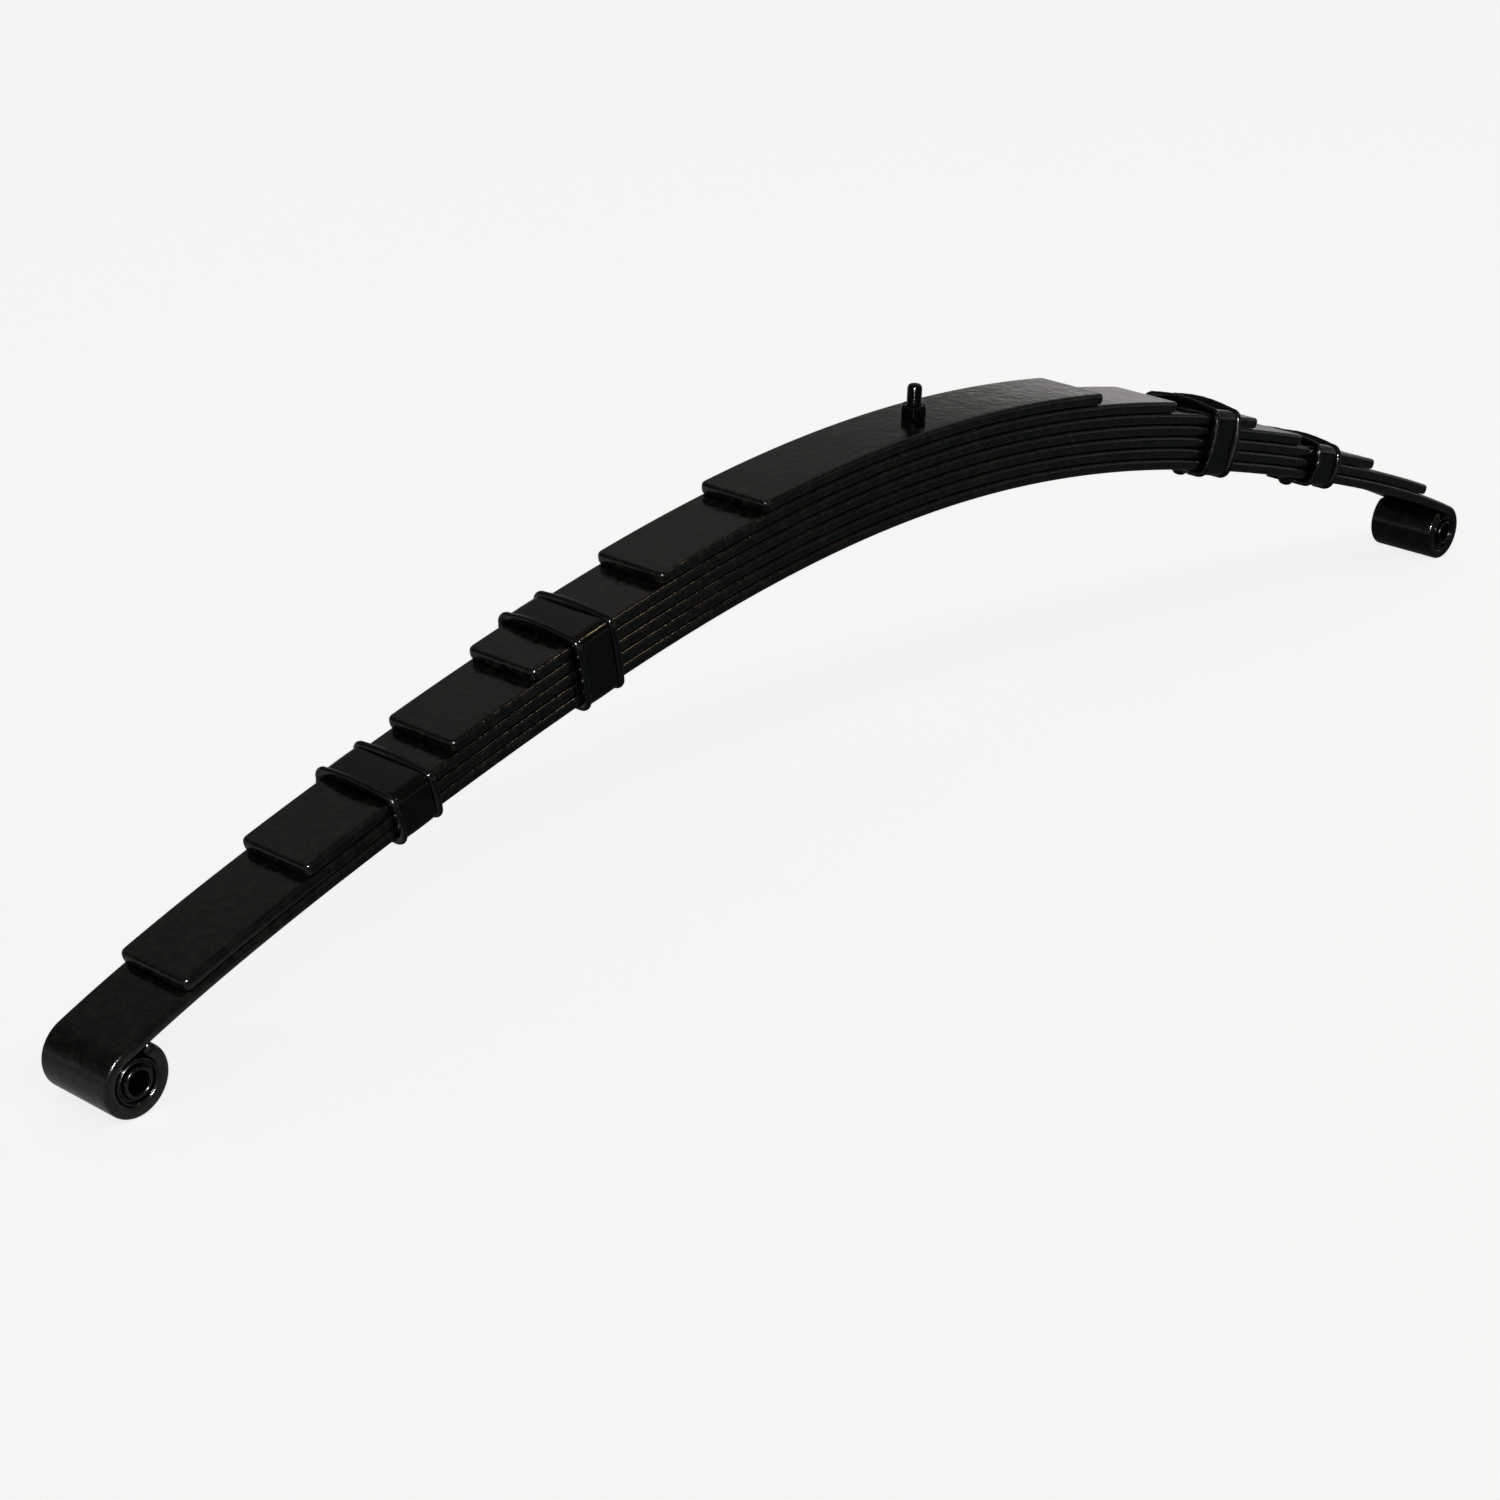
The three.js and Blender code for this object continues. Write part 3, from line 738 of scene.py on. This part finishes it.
def steel(name):
    """Turned steel sleeve under a thin, patchy coat of black."""
    made = Shader(name)
    patch = made.ramp(made.noise(130, 5, 0.65), 0.4, 0.62)
    lines = made.noise(30, 2, 0.5, stretch=(1, 60, 1))
    bare = made.mix(lines, shade(0.012, WARM), shade(0.03, (1.05, 1.0, 0.95)))
    colour = made.mix(patch, shade(0.004, COOL), bare)
    edge = made.add("ShaderNodeAttribute")
    edge.attribute_name = "edge"
    worn = made.math("MULTIPLY", edge.outputs["Fac"], made.ramp(made.noise(300, 4, 0.7), 0.56, 0.68))
    colour = made.mix(worn, colour, shade(0.3, (1.1, 1.0, 0.85)))
    made.set(made.shader, "Base Color", colour)
    made.set(made.shader, "Metallic", made.math("MAXIMUM", made.math("MULTIPLY", patch, 0.6), worn))
    made.set(made.shader, "Roughness", made.ramp(made.noise(240, 4), 0.3, 0.7, 0.1, 0.26))
    bump = made.bump(lines, 0.00003, 0.6)
    bump = made.bump(made.noise(420, 4, 0.6), 0.00005, under=bump)
    made.set(made.shader, "Normal", bump)
    return made.material


# ---- the spring -----------------------------------------------------------------------------

leaf_enamel = enamel("leaf_enamel", worn=0.65)
clip_enamel = enamel("clip_enamel", gloss=(0.05, 0.12), peel=0.4, coat=0.0, grimy=0.0, shine=0.38)
fastener_enamel = enamel(
    "fastener_enamel", level=0.002, gloss=(0.06, 0.12), peel=0.2, worn=0.3, coat=0.0, grimy=0.0, shine=0.25
)
shell_enamel = enamel("shell_enamel", level=0.004, gloss=(0.06, 0.14), peel=0.4, grimy=0.0)
liner_rubber = rubber("liner_rubber", level=0.006, gloss=(0.12, 0.2), tint=BLUISH, over_spray=0.4)
bush_rubber = rubber("bush_rubber", level=0.005, gloss=(0.3, 0.45), tint=NEUTRAL, over_spray=0.35)
sleeve_steel = steel("sleeve_steel")

eye_roll = math.radians(EYE_TURN) * EYE_NEUTRAL
make_leaf("main_leaf", EYE_START + eye_roll, 0, leaf_enamel)
for number, half_length in enumerate(SHORT_LEAVES, start=2):
    make_leaf(f"leaf_{number}", half_length, (number - 1) * LEAF_PITCH, leaf_enamel)
make_bush("left", -1, shell_enamel, bush_rubber, sleeve_steel)
make_bush("right", 1, shell_enamel, bush_rubber, sleeve_steel)
make_bolt(fastener_enamel)
make_nut(fastener_enamel)
for place, s, leaves, far_bow in CLIPS:
    make_clip(place, s, leaves, far_bow, clip_enamel, liner_rubber, fastener_enamel)

# ---- floor, light and camera ----------------------------------------------------------------

FLOOR_HALF = 60.0
FLOOR_DROP = 0.0003
FLOOR_SEEN = 0.82
SKY_SEEN = 0.92
BRIGHT_WAY = (0.82, 0.57)
FRONT_WAY = (-0.5, -0.87)
# brightness of the surround at heights from the horizon (0) to straight up (1)
SKY_LEVELS = [(0.0, 0.72), (0.07, 0.4), (0.24, 0.16), (0.42, 0.13), (0.72, 0.19), (1.0, 0.22)]
SKY_TINT = (1.0, 0.98, 0.93)
HORIZON_TINT = (1.0, 0.95, 0.97)
ZENITH_TINT = (1.0, 1.0, 0.9)

CAMERA_LENS = 79.77
CAMERA_AT = (-1.30811, -1.02664, 0.69077)
CAMERA_TARGET = (-0.11976, 0, 0.04481)
CAMERA_ROLL = 2.0908


def make_floor():
    """A pale floor. The camera sees it pale, and the enamel mirrors it as a dimmer studio floor:
    dark in front of the spring, and lighter under its left eye, behind it and far away."""
    mesh = bpy.data.meshes.new("floor")
    corners = [(-FLOOR_HALF, -FLOOR_HALF, 0), (FLOOR_HALF, -FLOOR_HALF, 0)]
    corners += [(FLOOR_HALF, FLOOR_HALF, 0), (-FLOOR_HALF, FLOOR_HALF, 0)]
    mesh.from_pydata(corners, [], [(0, 1, 2, 3)])
    floor = bpy.data.objects.new("floor", mesh)
    bpy.context.scene.collection.objects.link(floor)
    floor.location.z = -FLOOR_DROP
    made = Shader("floor_paint")
    tree = made.tree
    place = made.add("ShaderNodeSeparateXYZ", Vector=made.place)
    x, y = place.outputs[0], place.outputs[1]

    def along(way):
        return made.math("ADD", made.math("MULTIPLY", x, way[0]), made.math("MULTIPLY", y, way[1]))

    mirrored = made.mix(made.ramp(x, -0.45, -0.3), shade(0.24), shade(0.05))
    aside = made.ramp(made.math("ABSOLUTE", y, 0.0), 0.04, 0.2)
    mirrored = made.mix(aside, mirrored, shade(0.055, (0.8, 1.15, 1.05)))
    mirrored = made.mix(made.ramp(y, 0.06, 0.3), mirrored, shade(0.32))
    mirrored = made.mix(made.ramp(along(FRONT_WAY), 0.8, 1.6), mirrored, shade(0.32))
    mirrored = made.mix(made.ramp(along(BRIGHT_WAY), 1.2, 3.5), mirrored, shade(0.6, (1.0, 0.93, 0.96)))
    seen = made.add("ShaderNodeEmission", Color=shade(FLOOR_SEEN), Strength=1.0)
    unseen = made.add("ShaderNodeEmission", Color=mirrored, Strength=1.0)
    lit = made.add("ShaderNodeBsdfDiffuse", Color=shade(0.75))
    pale = made.add("ShaderNodeAddShader")
    tree.links.new(seen.outputs[0], pale.inputs[0])
    tree.links.new(lit.outputs[0], pale.inputs[1])
    path = made.add("ShaderNodeLightPath")
    chosen = made.add("ShaderNodeMixShader")
    tree.links.new(path.outputs["Is Camera Ray"], chosen.inputs[0])
    tree.links.new(unseen.outputs[0], chosen.inputs[1])
    tree.links.new(pale.outputs[0], chosen.inputs[2])
    tree.links.new(chosen.outputs[0], tree.nodes["Material Output"].inputs["Surface"])
    mesh.materials.append(made.material)


def make_world():
    """Soft studio surround: brightest low down opposite the camera, and dim to both sides of that."""
    world = bpy.data.worlds.new("studio")
    world.use_nodes = True
    bpy.context.scene.world = world
    tree = world.node_tree
    nodes, links = tree.nodes, tree.links
    coord = nodes.new("ShaderNodeTexCoord")
    apart = nodes.new("ShaderNodeSeparateXYZ")
    links.new(coord.outputs["Generated"], apart.inputs[0])
    level = nodes.new("ShaderNodeValToRGB")
    ramp = level.color_ramp
    ramp.interpolation = "EASE"
    (low_at, low_level), *between, (high_at, high_level) = SKY_LEVELS
    ramp.elements[0].position, ramp.elements[1].position = low_at, high_at
    ramp.elements[0].color = shade(low_level, HORIZON_TINT)
    ramp.elements[1].color = shade(high_level, ZENITH_TINT)
    for at, value in between:
        ramp.elements.new(at).color = shade(value, SKY_TINT)
    links.new(apart.outputs["Z"], level.inputs["Fac"])

    turned = nodes.new("ShaderNodeVectorMath")
    turned.operation = "DOT_PRODUCT"
    turned.inputs[1].default_value = (*BRIGHT_WAY, 0.0)
    links.new(coord.outputs["Generated"], turned.inputs[0])

    def strength_by_turn(low, high, to_low, to_high):
        node = nodes.new("ShaderNodeMapRange")
        node.interpolation_type = "SMOOTHSTEP"
        for key, value in (("From Min", low), ("From Max", high), ("To Min", to_low), ("To Max", to_high)):
            node.inputs[key].default_value = value
        links.new(turned.outputs["Value"], node.inputs["Value"])
        return node.outputs["Result"]

    # brightest towards BRIGHT_WAY, dim to its sides, and brighter again the other way
    strength = nodes.new("ShaderNodeMath")
    strength.operation = "ADD"
    links.new(strength_by_turn(0.2, 0.8, 0.4, 1.0), strength.inputs[0])
    links.new(strength_by_turn(-0.35, -0.7, 0.0, 0.5), strength.inputs[1])
    light = nodes["Background"]
    links.new(level.outputs["Color"], light.inputs["Color"])
    links.new(strength.outputs[0], light.inputs["Strength"])
    pale = nodes.new("ShaderNodeBackground")
    pale.inputs["Color"].default_value = shade(SKY_SEEN)
    path = nodes.new("ShaderNodeLightPath")
    chosen = nodes.new("ShaderNodeMixShader")
    links.new(path.outputs["Is Camera Ray"], chosen.inputs[0])
    links.new(light.outputs[0], chosen.inputs[1])
    links.new(pale.outputs[0], chosen.inputs[2])
    links.new(chosen.outputs[0], nodes["World Output"].inputs["Surface"])


def aim(thing, at, target, roll=0.0):
    """Stands a lamp or camera at a point, turned to look at the target and rolled by some degrees."""
    turn = (Vector(target) - Vector(at)).to_track_quat("-Z", "Y")
    turn = turn @ Quaternion((0, 0, 1), math.radians(roll))
    thing.location = at
    thing.rotation_euler = turn.to_euler()


def make_lamp(name, at, target, size, energy, colour, only_shine=False):
    """A round lamp. One that is only_shine gives highlights but lights no matt surface."""
    light = bpy.data.lights.new(name, "AREA")
    light.shape = "DISK"
    light.size = size
    light.energy = energy
    light.color = colour
    lamp = bpy.data.objects.new(name, light)
    bpy.context.scene.collection.objects.link(lamp)
    lamp.visible_diffuse = not only_shine
    aim(lamp, at, target)


def make_camera():
    """The camera, low in front of the spring's left end."""
    camera = bpy.data.cameras.new("camera")
    camera.sensor_width = 36
    camera.lens = CAMERA_LENS
    camera.clip_start = 0.01
    holder = bpy.data.objects.new("camera", camera)
    bpy.context.scene.collection.objects.link(holder)
    aim(holder, CAMERA_AT, CAMERA_TARGET, CAMERA_ROLL)
    bpy.context.scene.camera = holder


make_floor()
make_world()
make_lamp(
    "warm_softbox",
    at=(0.82, -1.28, 2.1),
    target=(-0.25, 0, 0.12),
    size=0.34,
    energy=2.8,
    colour=(1.0, 0.78, 0.45),
)
make_lamp(
    "small_lamp",
    at=(-1.27, -1.02, 0.86),
    target=(-0.2, 0, 0.1),
    size=0.07,
    energy=75,
    colour=(0.92, 0.95, 1.0),
    only_shine=True,
)
make_camera()
bpy.context.scene.view_settings.view_transform = "Standard"

bpy.context.view_layer.update()
